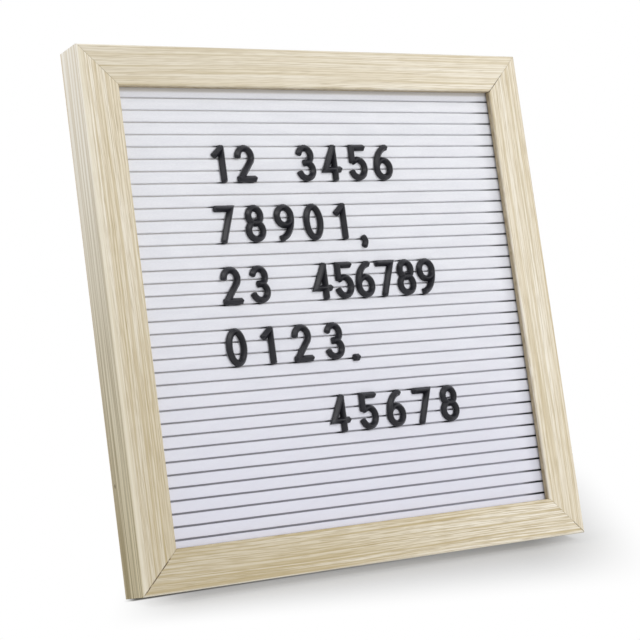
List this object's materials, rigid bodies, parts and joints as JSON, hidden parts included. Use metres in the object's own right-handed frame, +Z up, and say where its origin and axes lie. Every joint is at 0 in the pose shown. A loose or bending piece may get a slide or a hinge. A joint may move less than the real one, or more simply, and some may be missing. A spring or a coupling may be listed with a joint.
{
  "type": "felt letter board",
  "caption": "Square felt letter board in a pale wooden frame, with numerals pushed into its grooves, leaning back on a folding leg.",
  "frame": {"origin": "centre of the object's box, on the surface it stands on", "axes": "+X to the right along the board, +Y from the front towards the leg behind, +Z up"},
  "size_m": [0.254, 0.0964, 0.2502],
  "materials": {
    "pale_oak": "pale straight-grained oak, satin",
    "white_felt": "white felt tucked into level grooves",
    "fibreboard": "grooved fibreboard, unpainted",
    "hardboard": "smooth brown hardboard",
    "charcoal_plastic": "satin charcoal moulding",
    "zinc_steel": "zinc plated sheet and wire"
  },
  "bodies": {
    "board": {"backing_board": "hardboard", "backing_point_1": "zinc_steel", "backing_point_2": "zinc_steel", "backing_point_3": "zinc_steel", "backing_point_4": "zinc_steel", "backing_point_5": "zinc_steel", "backing_point_6": "zinc_steel", "backing_point_7": "zinc_steel", "backing_point_8": "zinc_steel", "bracket_screw_1": "zinc_steel", "bracket_screw_2": "zinc_steel", "bracket_screw_3": "zinc_steel", "bracket_screw_4": "zinc_steel", "comma_1": "charcoal_plastic", "core_board": "fibreboard", "eight_1": "charcoal_plastic", "eight_2": "charcoal_plastic", "eight_3": "charcoal_plastic", "felt_facing": "white_felt", "five_1": "charcoal_plastic", "five_2": "charcoal_plastic", "five_3": "charcoal_plastic", "four_1": "charcoal_plastic", "four_2": "charcoal_plastic", "four_3": "charcoal_plastic", "full_stop_1": "charcoal_plastic", "hanger_tack_1": "zinc_steel", "hanger_tack_2": "zinc_steel", "leg_bracket": "zinc_steel", "leg_pin": "zinc_steel", "nine_1": "charcoal_plastic", "nine_2": "charcoal_plastic", "one_1": "charcoal_plastic", "one_2": "charcoal_plastic", "one_3": "charcoal_plastic", "rail_bottom": "pale_oak", "rail_left": "pale_oak", "rail_right": "pale_oak", "rail_top": "pale_oak", "sawtooth_hanger": "zinc_steel", "seven_1": "charcoal_plastic", "seven_2": "charcoal_plastic", "seven_3": "charcoal_plastic", "six_1": "charcoal_plastic", "six_2": "charcoal_plastic", "six_3": "charcoal_plastic", "three_1": "charcoal_plastic", "three_2": "charcoal_plastic", "three_3": "charcoal_plastic", "two_1": "charcoal_plastic", "two_2": "charcoal_plastic", "two_3": "charcoal_plastic", "v_nail_1": "zinc_steel", "v_nail_2": "zinc_steel", "v_nail_3": "zinc_steel", "v_nail_4": "zinc_steel", "zero_1": "charcoal_plastic", "zero_2": "charcoal_plastic"},
    "leg": {"leg": "pale_oak"}
  },
  "joints": [
    {"name": "leg_fold", "type": "hinge", "parent": "board", "child": "leg", "pos_m": [0, 0.01247, 0.154], "axis": [-1, 0, 0], "range_deg": [0, 26.5]}
  ]
}
